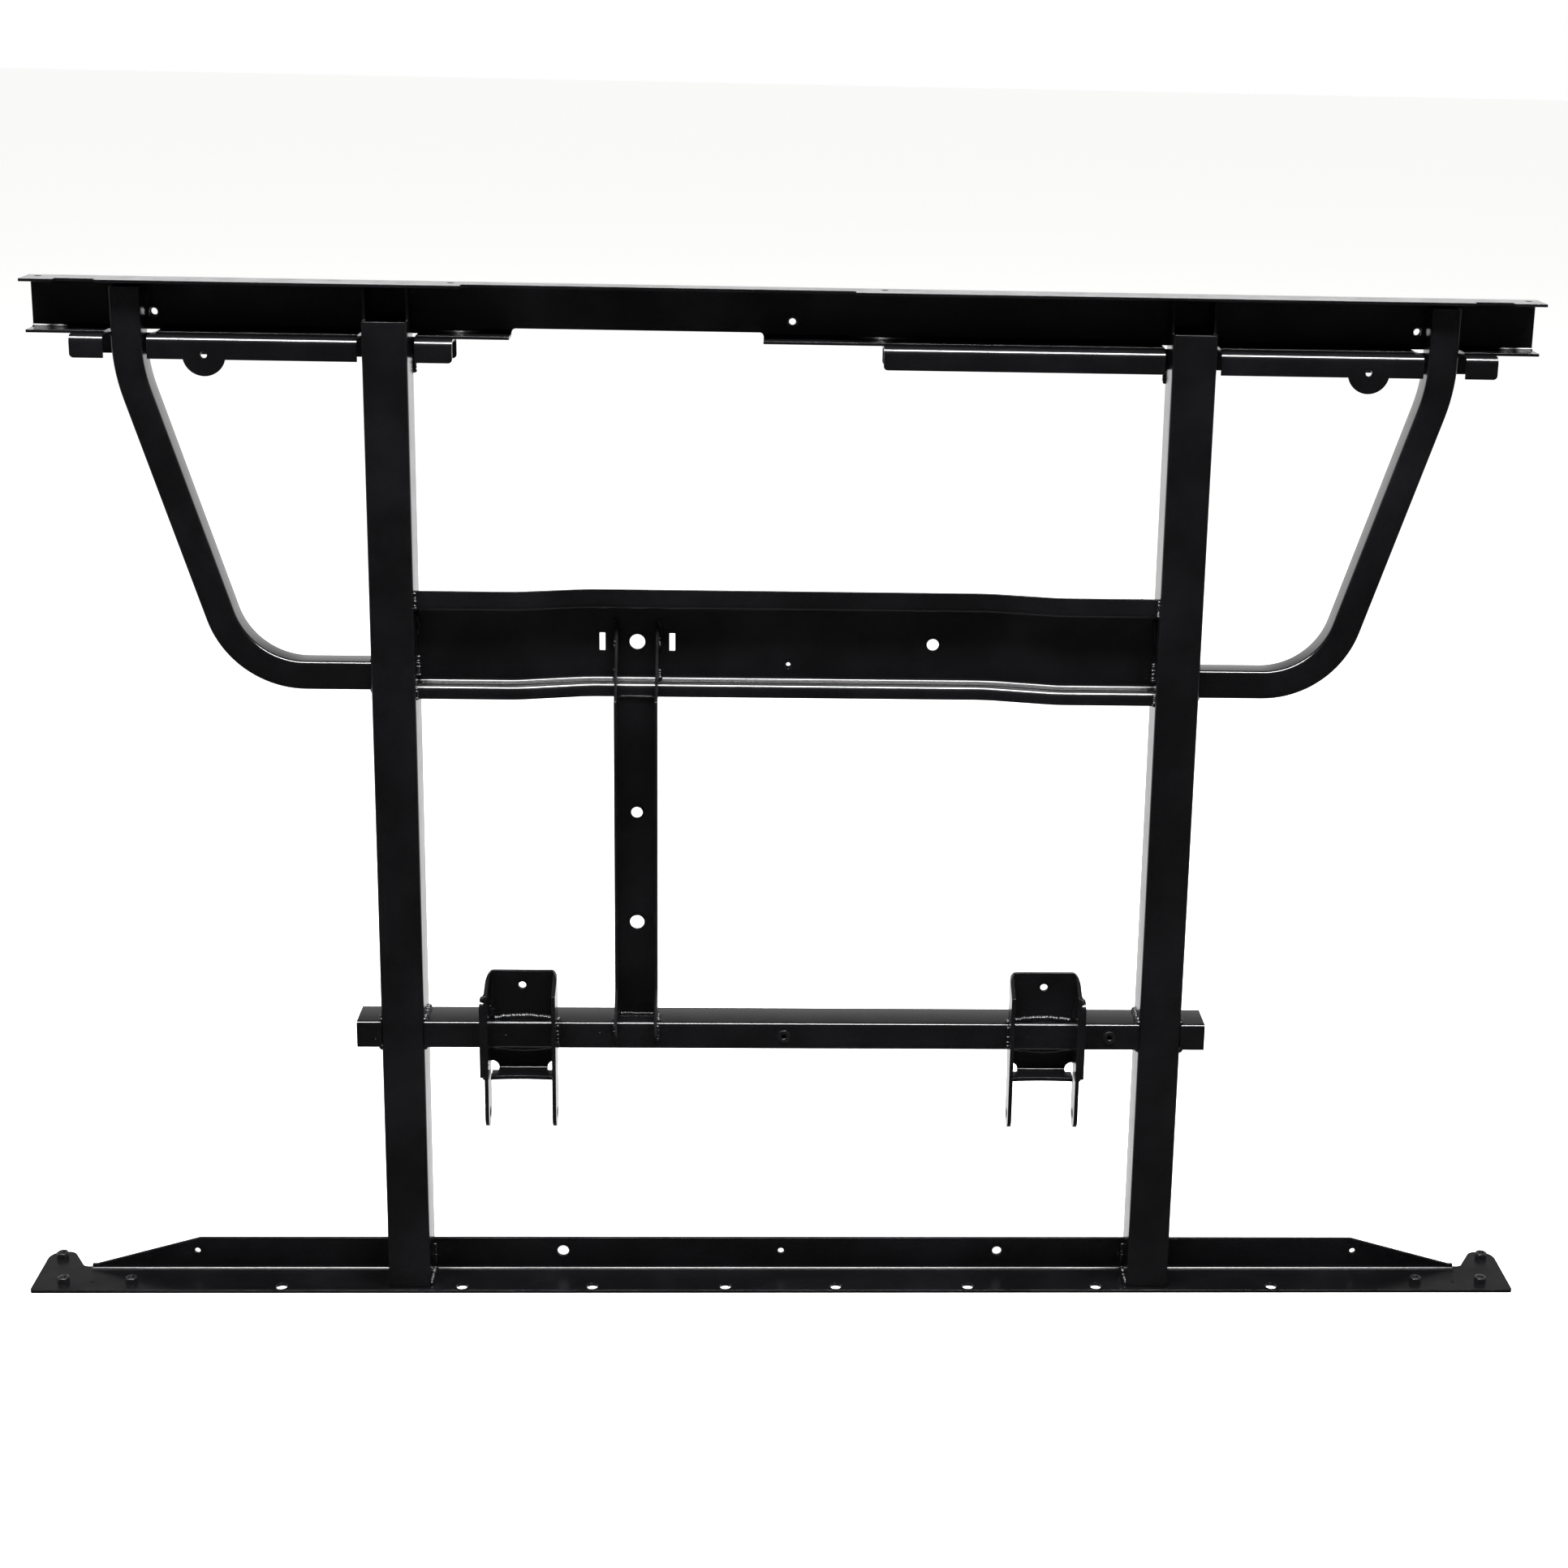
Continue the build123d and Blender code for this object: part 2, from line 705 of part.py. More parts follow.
right_side_tube = make_side_tube()
right_bracket = make_hinge_bracket()
right_doubler = make_hinge_doubler()
for name, side in (("left", -1), ("right", 1)):
    save(f"rail_{name}", make_rail(side, front_beam))
    save(f"side_tube_{name}", right_side_tube if side > 0 else mirrored(right_side_tube))
    save(f"hinge_bracket_{name}", right_bracket if side > 0 else mirrored(right_bracket))
    save(f"hinge_doubler_{name}", right_doubler if side > 0 else mirrored(right_doubler))
    save(f"rear_weld_nuts_{name}", make_rear_nuts(side))
    stub_range = span(side, rail_outer_x, rail_outer_x + pivot_stub_length)
    save(f"pivot_stub_{name}", make_pivot_tube(stub_range))

centre_channel = make_mid_channel()
save("mid_channel", centre_channel)
save("mid_channel_weld_nut", make_mid_nut())
save("latch_strut", make_latch_strut(centre_channel))
save("pivot_tube", make_pivot_tube((-rail_inner_x, rail_inner_x)))
save("pivot_rivet_nuts", make_rivet_nuts())
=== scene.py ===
import math

import bmesh
import bpy
from mathutils import Euler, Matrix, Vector


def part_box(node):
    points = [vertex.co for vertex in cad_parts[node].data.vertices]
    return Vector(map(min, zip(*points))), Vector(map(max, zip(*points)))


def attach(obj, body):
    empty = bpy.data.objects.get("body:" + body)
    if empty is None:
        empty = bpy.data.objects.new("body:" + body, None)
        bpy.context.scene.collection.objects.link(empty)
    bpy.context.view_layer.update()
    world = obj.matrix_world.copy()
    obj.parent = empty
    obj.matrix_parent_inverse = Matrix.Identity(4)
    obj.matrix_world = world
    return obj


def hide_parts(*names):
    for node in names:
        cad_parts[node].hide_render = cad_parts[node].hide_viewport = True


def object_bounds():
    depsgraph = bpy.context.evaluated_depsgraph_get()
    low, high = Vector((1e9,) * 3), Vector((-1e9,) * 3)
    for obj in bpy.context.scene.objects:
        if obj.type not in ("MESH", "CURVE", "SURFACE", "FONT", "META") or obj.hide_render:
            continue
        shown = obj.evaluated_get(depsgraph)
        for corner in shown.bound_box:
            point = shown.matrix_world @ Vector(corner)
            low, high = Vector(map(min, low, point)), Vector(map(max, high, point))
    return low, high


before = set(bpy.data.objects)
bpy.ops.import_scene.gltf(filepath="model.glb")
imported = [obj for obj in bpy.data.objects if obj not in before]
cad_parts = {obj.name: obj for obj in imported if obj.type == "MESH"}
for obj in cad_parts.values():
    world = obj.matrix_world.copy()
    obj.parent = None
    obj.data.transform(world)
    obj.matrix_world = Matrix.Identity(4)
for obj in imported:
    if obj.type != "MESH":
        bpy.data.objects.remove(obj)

mm = 0.001
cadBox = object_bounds()

# black powder-coated, MIG-welded cargo box frame, standing on its rear angle
camera = {
    "place": (-0.01269, -2.13139, 1.17191),
    "turnDegrees": (75.7006, -1.2463, -2.2944),
    "lens": 57.764,
    "sensor": 36.0,
    "shift": (-0.0647, -0.0977),
}


def makeCamera():
    data = bpy.data.cameras.new("camera")
    data.lens = camera["lens"]
    data.sensor_width = camera["sensor"]
    data.shift_x, data.shift_y = camera["shift"]
    data.clip_start = 0.05
    data.clip_end = 200
    shot = bpy.data.objects.new("camera", data)
    shot.location = camera["place"]
    shot.rotation_euler = Euler([math.radians(turn) for turn in camera["turnDegrees"]])
    bpy.context.scene.collection.objects.link(shot)
    bpy.context.scene.camera = shot


def addNode(tree, kind, props=None, inputs=None):
    # adds one node, sets its properties, then sets or links its inputs by name or number
    node = tree.nodes.new(kind)
    for name, value in (props or {}).items():
        setattr(node, name, value)
    for name, value in (inputs or {}).items():
        socket = node.inputs[name]
        if isinstance(value, bpy.types.NodeSocket):
            tree.links.new(value, socket)
        else:
            socket.default_value = value
    return node


def linearColour(hexCode):
    # sRGB hex to the linear values that the shader wants
    levels = [int(hexCode[i:i + 2], 16) / 255 for i in (1, 3, 5)]
    linear = [level / 12.92 if level <= 0.04045 else ((level + 0.055) / 1.055) ** 2.4 for level in levels]
    return (*linear, 1.0)


def scaleFor(sizeMm):
    # texture scale for a pattern whose cells are this many millimetres
    return 1 / (sizeMm * mm)


def newMaterial(name):
    material = bpy.data.materials.new(name)
    material.use_nodes = True
    material.node_tree.nodes.clear()
    return material, material.node_tree


# semi-gloss polyester powder coat over steel: nearly black, soft highlights broken by orange peel
powderCoat = {
    "name": "semiGlossBlackPowderCoat",
    "film": "#060607",
    "haze": "#0c0c0e",
    "hazeMm": 90,
    "roughness": (0.17, 0.25),
    "peelMm": 2.6,  # real peel is about 1 mm, too fine to show here
    "peelDeep": 0.007,
    "waveMm": 22,
    "waveDeep": 0.03,
    "nibMm": 30,
    "nibShare": 0.03,
    "nibDeep": 0.08,
    "ior": 1.5,
}
# the same coat over weld metal: thicker, glossier on the ripples, pulled thin on the crests
weldCoat = dict(
    powderCoat, name="powderCoatOverWeld", film="#070708", haze="#0e0f10", hazeMm=7,
    roughness=(0.14, 0.26), peelMm=1.4, peelDeep=0.02, waveMm=5, waveDeep=0.05,
)
# the same coat over small pressed nuts: slightly dry and dusty
nutCoat = dict(
    powderCoat, name="powderCoatOverNut", film="#070708", haze="#0d0e0f", hazeMm=6,
    roughness=(0.34, 0.5), peelMm=1.0, peelDeep=0.02, waveMm=4, waveDeep=0.03,
)


def makeCoat(finish):
    material, tree = newMaterial(finish["name"])
    place = addNode(tree, "ShaderNodeTexCoord").outputs["Object"]
    haze = addNode(tree, "ShaderNodeTexNoise", None, {
        "Vector": place, "Scale": scaleFor(finish["hazeMm"]), "Detail": 5.0, "Roughness": 0.6,
    })
    hazeRamp = addNode(tree, "ShaderNodeMapRange", None, {
        "Value": haze.outputs["Fac"], "From Min": 0.42, "From Max": 0.72,
    })
    colour = addNode(tree, "ShaderNodeMix", {"data_type": "RGBA"}, {
        "Factor": hazeRamp.outputs["Result"],
        "A": linearColour(finish["film"]),
        "B": linearColour(finish["haze"]),
    })
    rub = addNode(tree, "ShaderNodeTexNoise", None, {
        "Vector": place, "Scale": scaleFor(finish["hazeMm"] / 3), "Detail": 6.0, "Roughness": 0.7,
    })
    low, high = finish["roughness"]
    rough = addNode(tree, "ShaderNodeMapRange", None, {
        "Value": rub.outputs["Fac"], "From Min": 0.3, "From Max": 0.7, "To Min": low, "To Max": high,
    })
    # three heights add up: fine orange peel, slow waves in the film, and a few dust nibs
    peel = addNode(tree, "ShaderNodeTexNoise", None, {
        "Vector": place, "Scale": scaleFor(finish["peelMm"]), "Detail": 2.0, "Roughness": 0.5,
    })
    wave = addNode(tree, "ShaderNodeTexNoise", None, {
        "Vector": place, "Scale": scaleFor(finish["waveMm"]), "Detail": 1.0, "Roughness": 0.4,
    })
    nib = addNode(tree, "ShaderNodeTexVoronoi", None, {
        "Vector": place, "Scale": scaleFor(finish["nibMm"]), "Randomness": 1.0,
    })
    nibHeight = addNode(tree, "ShaderNodeMapRange", None, {
        "Value": nib.outputs["Distance"], "From Min": 0.0, "From Max": finish["nibShare"],
        "To Min": finish["nibDeep"], "To Max": 0.0,
    })
    peelHeight = addNode(tree, "ShaderNodeMath", {"operation": "MULTIPLY"}, {
        0: peel.outputs["Fac"], 1: finish["peelDeep"],
    })
    waveHeight = addNode(tree, "ShaderNodeMath", {"operation": "MULTIPLY_ADD"}, {
        0: wave.outputs["Fac"], 1: finish["waveDeep"], 2: peelHeight.outputs[0],
    })
    height = addNode(tree, "ShaderNodeMath", {"operation": "ADD"}, {
        0: waveHeight.outputs[0], 1: nibHeight.outputs["Result"],
    })
    bump = addNode(tree, "ShaderNodeBump", None, {
        "Height": height.outputs[0], "Distance": mm, "Strength": 1.0,
    })
    shader = addNode(tree, "ShaderNodeBsdfPrincipled", None, {
        "Base Color": colour.outputs["Result"],
        "Roughness": rough.outputs["Result"],
        "IOR": finish["ior"],
        "Normal": bump.outputs["Normal"],
    })
    addNode(tree, "ShaderNodeOutputMaterial", None, {"Surface": shader.outputs["BSDF"]})
    return material


# zinc-nickel plated rivet nut: dull grey metal with faint turned rings
platedNut = {
    "name": "darkZincPlating",
    "metal": "#6d6e70",
    "stain": "#3c3d40",
    "stainMm": 5,
    "roughness": 0.42,
    "grainMm": 0.8,
    "grainDeep": 0.02,
}


def makePlating():
    material, tree = newMaterial(platedNut["name"])
    place = addNode(tree, "ShaderNodeTexCoord").outputs["Object"]
    stain = addNode(tree, "ShaderNodeTexNoise", None, {
        "Vector": place, "Scale": scaleFor(platedNut["stainMm"]), "Detail": 6.0,
    })
    colour = addNode(tree, "ShaderNodeMix", {"data_type": "RGBA"}, {
        "Factor": stain.outputs["Fac"],
        "A": linearColour(platedNut["metal"]),
        "B": linearColour(platedNut["stain"]),
    })
    grain = addNode(tree, "ShaderNodeTexNoise", None, {
        "Vector": place, "Scale": scaleFor(platedNut["grainMm"]), "Detail": 3.0,
    })
    bump = addNode(tree, "ShaderNodeBump", None, {
        "Height": grain.outputs["Fac"], "Distance": platedNut["grainDeep"] * mm,
    })
    shader = addNode(tree, "ShaderNodeBsdfPrincipled", None, {
        "Base Color": colour.outputs["Result"],
        "Metallic": 1.0,
        "Roughness": platedNut["roughness"],
        "Normal": bump.outputs["Normal"],
    })
    addNode(tree, "ShaderNodeOutputMaterial", None, {"Surface": shader.outputs["BSDF"]})
    return material


# every CAD piece gets a coated twin whose cut edges are eased as laser-cut, coated steel is
coatedPiece = {
    "edgeMm": 0.2,
    "nutEdgeMm": 0.2,
    "edgeSteps": 2,
    "edgeDegrees": 32,
    "mergeMm": 0.1,
    "flatDegrees": 0.5,
}


def makeCoatedPiece(node, material, edgeMm):
    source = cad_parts[node]
    mesh = bmesh.new()
    mesh.from_mesh(source.data)
    # points closer than this would make the eased edges cross and throw spikes
    bmesh.ops.remove_doubles(mesh, verts=mesh.verts, dist=coatedPiece["mergeMm"] * mm)
    bmesh.ops.dissolve_limit(
        mesh, angle_limit=math.radians(coatedPiece["flatDegrees"]), verts=mesh.verts, edges=mesh.edges,
    )
    data = bpy.data.meshes.new("coated_" + node)
    mesh.to_mesh(data)
    mesh.free()
    piece = bpy.data.objects.new("coated_" + node, data)
    bpy.context.scene.collection.objects.link(piece)
    ease = piece.modifiers.new("easedEdges", "BEVEL")
    ease.width = edgeMm * mm
    ease.segments = coatedPiece["edgeSteps"]
    ease.limit_method = "ANGLE"
    ease.angle_limit = math.radians(coatedPiece["edgeDegrees"])
    ease.use_clamp_overlap = False
    ease.harden_normals = True
    data.materials.clear()
    data.materials.append(material)
    data.shade_smooth()
    data.set_sharp_from_angle(angle=math.radians(coatedPiece["edgeDegrees"]))
    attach(piece, "root")
    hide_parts(node)
    return piece


def newTree(name, sockets):
    # geometry tree with one geometry in, one out, and the named inputs
    tree = bpy.data.node_groups.new(name, "GeometryNodeTree")
    tree.interface.new_socket("Geometry", in_out="INPUT", socket_type="NodeSocketGeometry")
    for socket, kind in sockets.items():
        tree.interface.new_socket(socket, in_out="INPUT", socket_type=kind)
    tree.interface.new_socket("Geometry", in_out="OUTPUT", socket_type="NodeSocketGeometry")
    return tree, addNode(tree, "NodeGroupInput").outputs


def finishTree(tree, geometry, material):
    realized = addNode(tree, "GeometryNodeRealizeInstances", None, {"Geometry": geometry})
    finished = addNode(tree, "GeometryNodeSetMaterial", None, {
        "Geometry": realized.outputs["Geometry"], "Material": material,
    })
    addNode(tree, "NodeGroupOutput", None, {"Geometry": finished.outputs["Geometry"]})


def runTree(name, source, tree, values, material):
    # puts the tree on the source, takes the finished mesh off it and rides that on the frame
    bpy.context.scene.collection.objects.link(source)
    modifier = source.modifiers.new("tree", "NODES")
    modifier.node_group = tree
    for socket in tree.interface.items_tree:
        if socket.in_out == "INPUT" and socket.name in values:
            modifier[socket.identifier] = values[socket.name]
    bpy.context.view_layer.update()
    graph = bpy.context.evaluated_depsgraph_get()
    mesh = bpy.data.meshes.new_from_object(source.evaluated_get(graph), depsgraph=graph)
    source.modifiers.clear()
    bpy.data.objects.remove(source)
    mesh.name = name
    if not mesh.materials:
        mesh.materials.append(material)
    mesh.shade_smooth()
    piece = bpy.data.objects.new(name, mesh)
    bpy.context.scene.collection.objects.link(piece)
    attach(piece, "root")
    return piece


def makeWeldCurve(name, runs):
    # one curve object with a line for each bead: its points, and the bead's radius in mm
    curve = bpy.data.curves.new(name, "CURVE")
    curve.dimensions = "3D"
    for points, radius in runs:
        line = curve.splines.new("POLY")
        line.points.add(len(points) - 1)
        for slot, point in zip(line.points, points):
            slot.co = (*point, 1.0)
            slot.radius = radius * mm
    return bpy.data.objects.new(name, curve)


# a bead is a row of overlapping ripples, one for each pulse of the wire
weldBead = {
    "rippleMm": 1.7,
    "lengthShare": 0.66,
    "spread": 0.12,
    "wanderMm": 0.35,
    "segments": 12,
    "rings": 7,
    "seed": 7,
}


def makeBeadTree():
    tree, given = newTree("weldBeadTree", {
        "Ripple spacing": "NodeSocketFloat", "Ripple length": "NodeSocketFloat",
        "Spread": "NodeSocketFloat", "Wander": "NodeSocketFloat", "Seed": "NodeSocketInt",
        "Coat": "NodeSocketMaterial",
    })
    path = addNode(tree, "GeometryNodeResampleCurve", {"mode": "LENGTH"}, {
        "Curve": given["Geometry"], "Length": given["Ripple spacing"],
    })
    wander = addNode(tree, "FunctionNodeRandomValue", {"data_type": "FLOAT_VECTOR"}, {
        "Min": (-1.0, -1.0, -1.0), "Max": (1.0, 1.0, 1.0), "Seed": given["Seed"],
    })
    offset = addNode(tree, "ShaderNodeVectorMath", {"operation": "SCALE"}, {
        0: wander.outputs["Value"], "Scale": given["Wander"],
    })
    moved = addNode(tree, "GeometryNodeSetPosition", None, {
        "Geometry": path.outputs["Curve"], "Offset": offset.outputs["Vector"],
    })
    radius = addNode(tree, "GeometryNodeInputRadius")
    along = addNode(tree, "ShaderNodeMath", {"operation": "MULTIPLY"}, {
        0: radius.outputs["Radius"], 1: given["Ripple length"],
    })
    size = addNode(tree, "ShaderNodeCombineXYZ", None, {
        "X": along.outputs[0], "Y": radius.outputs["Radius"], "Z": radius.outputs["Radius"],
    })
    least = addNode(tree, "ShaderNodeMath", {"operation": "SUBTRACT"}, {0: 1.0, 1: given["Spread"]})
    most = addNode(tree, "ShaderNodeMath", {"operation": "ADD"}, {0: 1.0, 1: given["Spread"]})
    vary = addNode(tree, "FunctionNodeRandomValue", {"data_type": "FLOAT"}, {
        2: least.outputs[0], 3: most.outputs[0], "Seed": given["Seed"],
    })
    scale = addNode(tree, "ShaderNodeVectorMath", {"operation": "SCALE"}, {
        0: size.outputs["Vector"], "Scale": vary.outputs[1],
    })
    tangent = addNode(tree, "GeometryNodeInputTangent")
    turn = addNode(tree, "FunctionNodeAlignRotationToVector", {"axis": "X"}, {
        "Vector": tangent.outputs["Tangent"],
    })
    ripple = addNode(tree, "GeometryNodeMeshUVSphere", None, {
        "Segments": weldBead["segments"], "Rings": weldBead["rings"], "Radius": 1.0,
    })
    ripples = addNode(tree, "GeometryNodeInstanceOnPoints", None, {
        "Points": moved.outputs["Geometry"], "Instance": ripple.outputs["Mesh"],
        "Rotation": turn.outputs["Rotation"], "Scale": scale.outputs["Vector"],
    })
    finishTree(tree, ripples.outputs["Instances"], given["Coat"])
    return tree


def makeBeads(name, runs, material):
    values = {
        "Ripple spacing": weldBead["rippleMm"] * mm,
        "Ripple length": weldBead["lengthShare"],
        "Spread": weldBead["spread"],
        "Wander": weldBead["wanderMm"] * mm,
        "Seed": weldBead["seed"],
        "Coat": material,
    }
    source = makeWeldCurve(name + "_line", runs)
    return runTree(name, source, makeBeadTree(), values, material)


# spatter: small balls of weld metal that froze on the sheet near a bead
spatter = {
    "everyMm": 5.0,
    "reachMm": 16.0,
    "sizeMm": (0.25, 0.75),
    "seed": 21,
}


def makeSpatterTree():
    tree, given = newTree("weldSpatterTree", {
        "Frame": "NodeSocketObject", "Every": "NodeSocketFloat", "Reach": "NodeSocketFloat",
        "Smallest": "NodeSocketFloat", "Largest": "NodeSocketFloat", "Seed": "NodeSocketInt",
        "Low": "NodeSocketVector", "High": "NodeSocketVector", "Coat": "NodeSocketMaterial",
    })
    path = addNode(tree, "GeometryNodeResampleCurve", {"mode": "LENGTH"}, {
        "Curve": given["Geometry"], "Length": given["Every"],
    })
    thrown = addNode(tree, "FunctionNodeRandomValue", {"data_type": "FLOAT_VECTOR"}, {
        "Min": (-1.0, -1.0, -1.0), "Max": (1.0, 1.0, 1.0), "Seed": given["Seed"],
    })
    offset = addNode(tree, "ShaderNodeVectorMath", {"operation": "SCALE"}, {
        0: thrown.outputs["Value"], "Scale": given["Reach"],
    })
    loose = addNode(tree, "GeometryNodeSetPosition", None, {
        "Geometry": path.outputs["Curve"], "Offset": offset.outputs["Vector"],
    })
    surface = addNode(tree, "GeometryNodeObjectInfo", None, {"Object": given["Frame"]})
    nearest = addNode(tree, "GeometryNodeProximity", {"target_element": "FACES"}, {
        0: surface.outputs["Geometry"],
    })
    # a ball on an outermost face sinks into it, so that none stands proud of the frame
    above = addNode(tree, "ShaderNodeVectorMath", {"operation": "MAXIMUM"}, {
        0: nearest.outputs["Position"], 1: given["Low"],
    })
    within = addNode(tree, "ShaderNodeVectorMath", {"operation": "MINIMUM"}, {
        0: above.outputs["Vector"], 1: given["High"],
    })
    landed = addNode(tree, "GeometryNodeSetPosition", None, {
        "Geometry": loose.outputs["Geometry"], "Position": within.outputs["Vector"],
    })
    size = addNode(tree, "FunctionNodeRandomValue", {"data_type": "FLOAT"}, {
        2: given["Smallest"], 3: given["Largest"], "Seed": given["Seed"],
    })
    ball = addNode(tree, "GeometryNodeMeshIcoSphere", None, {"Radius": 1.0, "Subdivisions": 2})
    balls = addNode(tree, "GeometryNodeInstanceOnPoints", None, {
        "Points": landed.outputs["Geometry"], "Instance": ball.outputs["Mesh"],
        "Scale": size.outputs[1],
    })
    finishTree(tree, balls.outputs["Instances"], given["Coat"])
    return tree


def makeSpatter(name, runs, surface, material):
    room = Vector([spatter["sizeMm"][1] * mm] * 3)
    values = {
        "Low": Vector(cadBox[0]) + room,
        "High": Vector(cadBox[1]) - room,
        "Frame": surface,
        "Every": spatter["everyMm"] * mm,
        "Reach": spatter["reachMm"] * mm,
        "Smallest": spatter["sizeMm"][0] * mm,
        "Largest": spatter["sizeMm"][1] * mm,
        "Seed": spatter["seed"],
        "Coat": material,
    }
    source = makeWeldCurve(name + "_line", runs)
    return runTree(name, source, makeSpatterTree(), values, material)


# M5, M6 and M8 threads, cut as one spiral ridge in each bore
threads = {
    "front_beam_weld_nuts": {"axis": (0, 1, 0), "boreMm": 6.8, "pitchMm": 1.25},
    "mid_channel_weld_nut": {"axis": (0, 1, 0), "boreMm": 4.2, "pitchMm": 0.8},
    "rear_weld_nuts_left": {"axis": (0, 0, 1), "boreMm": 5.0, "pitchMm": 1.0},
    "rear_weld_nuts_right": {"axis": (0, 0, 1), "boreMm": 5.0, "pitchMm": 1.0},
    "pivot_rivet_nuts": {"axis": (0, 1, 0), "boreMm": 5.0, "pitchMm": 1.0},
}


def solidBoxes(node):
    # box of each separate solid in a node
    mesh = bmesh.new()
    mesh.from_mesh(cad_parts[node].data)
    bmesh.ops.remove_doubles(mesh, verts=mesh.verts, dist=coatedPiece["mergeMm"] * mm)
    waiting = set(mesh.verts)
    boxes = []
    while waiting:
        island = []
        edge = [waiting.pop()]
        while edge:
            vertex = edge.pop()
            island.append(vertex.co.copy())
            for link in vertex.link_edges:
                other = link.other_vert(vertex)
                if other in waiting:
                    waiting.remove(other)
                    edge.append(other)
        low = Vector([min(point[i] for point in island) for i in range(3)])
        high = Vector([max(point[i] for point in island) for i in range(3)])
        boxes.append((low, high))
    mesh.free()
    return sorted(boxes, key=lambda box: box[0].x)


def makeThreadTree():
    tree, given = newTree("threadTree", {
        "Turns": "NodeSocketFloat", "Radius": "NodeSocketFloat", "Length": "NodeSocketFloat",
        "Ridge": "NodeSocketFloat", "Axis": "NodeSocketVector", "Coat": "NodeSocketMaterial",
    })
    spiral = addNode(tree, "GeometryNodeCurveSpiral", None, {
        "Resolution": 20, "Rotations": given["Turns"], "Start Radius": given["Radius"],
        "End Radius": given["Radius"], "Height": given["Length"],
    })
    ridge = addNode(tree, "GeometryNodeCurvePrimitiveCircle", {"mode": "RADIUS"}, {
        "Resolution": 4, "Radius": given["Ridge"],
    })
    swept = addNode(tree, "GeometryNodeCurveToMesh", None, {
        "Curve": spiral.outputs["Curve"], "Profile Curve": ridge.outputs["Curve"], "Fill Caps": True,
    })
    turn = addNode(tree, "FunctionNodeAlignRotationToVector", {"axis": "Z"}, {"Vector": given["Axis"]})
    placed = addNode(tree, "GeometryNodeInstanceOnPoints", None, {
        "Points": given["Geometry"], "Instance": swept.outputs["Mesh"], "Rotation": turn.outputs["Rotation"],
    })
    finishTree(tree, placed.outputs["Instances"], given["Coat"])
    return tree


def makeThreads(node, material):
    thread = threads[node]
    axis = Vector(thread["axis"])
    boxes = solidBoxes(node)
    length = (boxes[0][1] - boxes[0][0]).dot(axis)
    ridge = thread["pitchMm"] * 0.3 * mm
    data = bpy.data.meshes.new("threadStarts")
    starts = [(low + high) / 2 - axis * (length / 2 - 2 * ridge) for low, high in boxes]
    data.from_pydata(starts, [], [])
    source = bpy.data.objects.new("threadStarts", data)
    values = {
        "Turns": (length - 4 * ridge) / (thread["pitchMm"] * mm),
        "Radius": thread["boreMm"] * mm / 2,
        "Length": length - 4 * ridge,
        "Ridge": ridge,
        "Axis": axis,
        "Coat": material,
    }
    return runTree("thread_" + node, source, makeThreadTree(), values, material)


# where the beads run, from the pieces' own boxes; sizes are bead radii in mm
weldSizes = {
    "smallTubeMm": 25.4,
    "midRecessMm": 15,
    "midFlangeMm": 18.5,
    "strutWebMm": 17.5,
    "strut": 1.6,
    "tube": 3.0,
    "sheet": 2.6,
    "bracket": 3.6,
    "tack": 2.4,
    "tubeCornerMm": 3.0,
    "sheetMm": 2.5,
    "bracketSheetMm": 3.5,
    "archMm": 2.2,
    "footLiftMm": 1.0,
}


def straight(start, end):
    return [Vector(start), Vector(end)]


def tubeEndRuns(node, faceX, radius):
    # across the top and bottom of a tube's end, where it meets a rail's side
    low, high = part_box(node)
    corner = weldSizes["tubeCornerMm"] * mm
    size = weldSizes["smallTubeMm"] * mm
    top = low.z + size
    runs = []
    for z in (top, low.z):
        runs.append((straight((faceX, low.y + corner, z), (faceX, high.y - corner, z)), radius))
    return runs


def railRuns(side):
    name = "left" if side < 0 else "right"
    low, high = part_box("rail_" + name)
    inner, outer = (high.x, low.x) if side < 0 else (low.x, high.x)
    runs = tubeEndRuns("pivot_tube", inner, weldSizes["tube"])
    runs += tubeEndRuns("pivot_stub_" + name, outer, weldSizes["tube"])
    runs += tubeEndRuns("side_tube_" + name, outer, weldSizes["tube"])
    angleTop = low.z + weldSizes["footLiftMm"] * mm
    for x in (inner, outer):
        foot = straight((x, low.y + 6 * mm, angleTop), (x, high.y - 4 * mm, angleTop))
        upright = straight((x, high.y - 1 * mm, angleTop + 4 * mm), (x, high.y - 1 * mm, angleTop + 24 * mm))
        runs.append((foot, weldSizes["tube"]))
        runs.append((upright, weldSizes["sheet"]))
    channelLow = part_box("lower_channel_" + name)[0]
    beamLow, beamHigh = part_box("front_beam")
    for x in (low.x, high.x):
        back = high.y
        runs.append((
            straight((x, back, channelLow.z + 3 * mm), (x, back, channelLow.z + 17 * mm)),
            weldSizes["sheet"],
        ))
        for z in (beamLow.z + 16 * mm, beamHigh.z - 10 * mm):
            runs.append((straight((x, back, z), (x, back, z + 4 * mm)), weldSizes["tack"]))
    return runs


def sideTubeHeadRuns(side):
    name = "left" if side < 0 else "right"
    low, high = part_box("side_tube_" + name)
    size = weldSizes["smallTubeMm"] * mm
    outer = low.x if side < 0 else high.x
    inner = outer - side * size
    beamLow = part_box("front_beam")[0]
    runs = []
    for x in (inner, outer):
        z = beamLow.z + 12 * mm
        runs.append((straight((x, high.y, z), (x, high.y, z + 20 * mm)), weldSizes["sheet"]))
    return runs


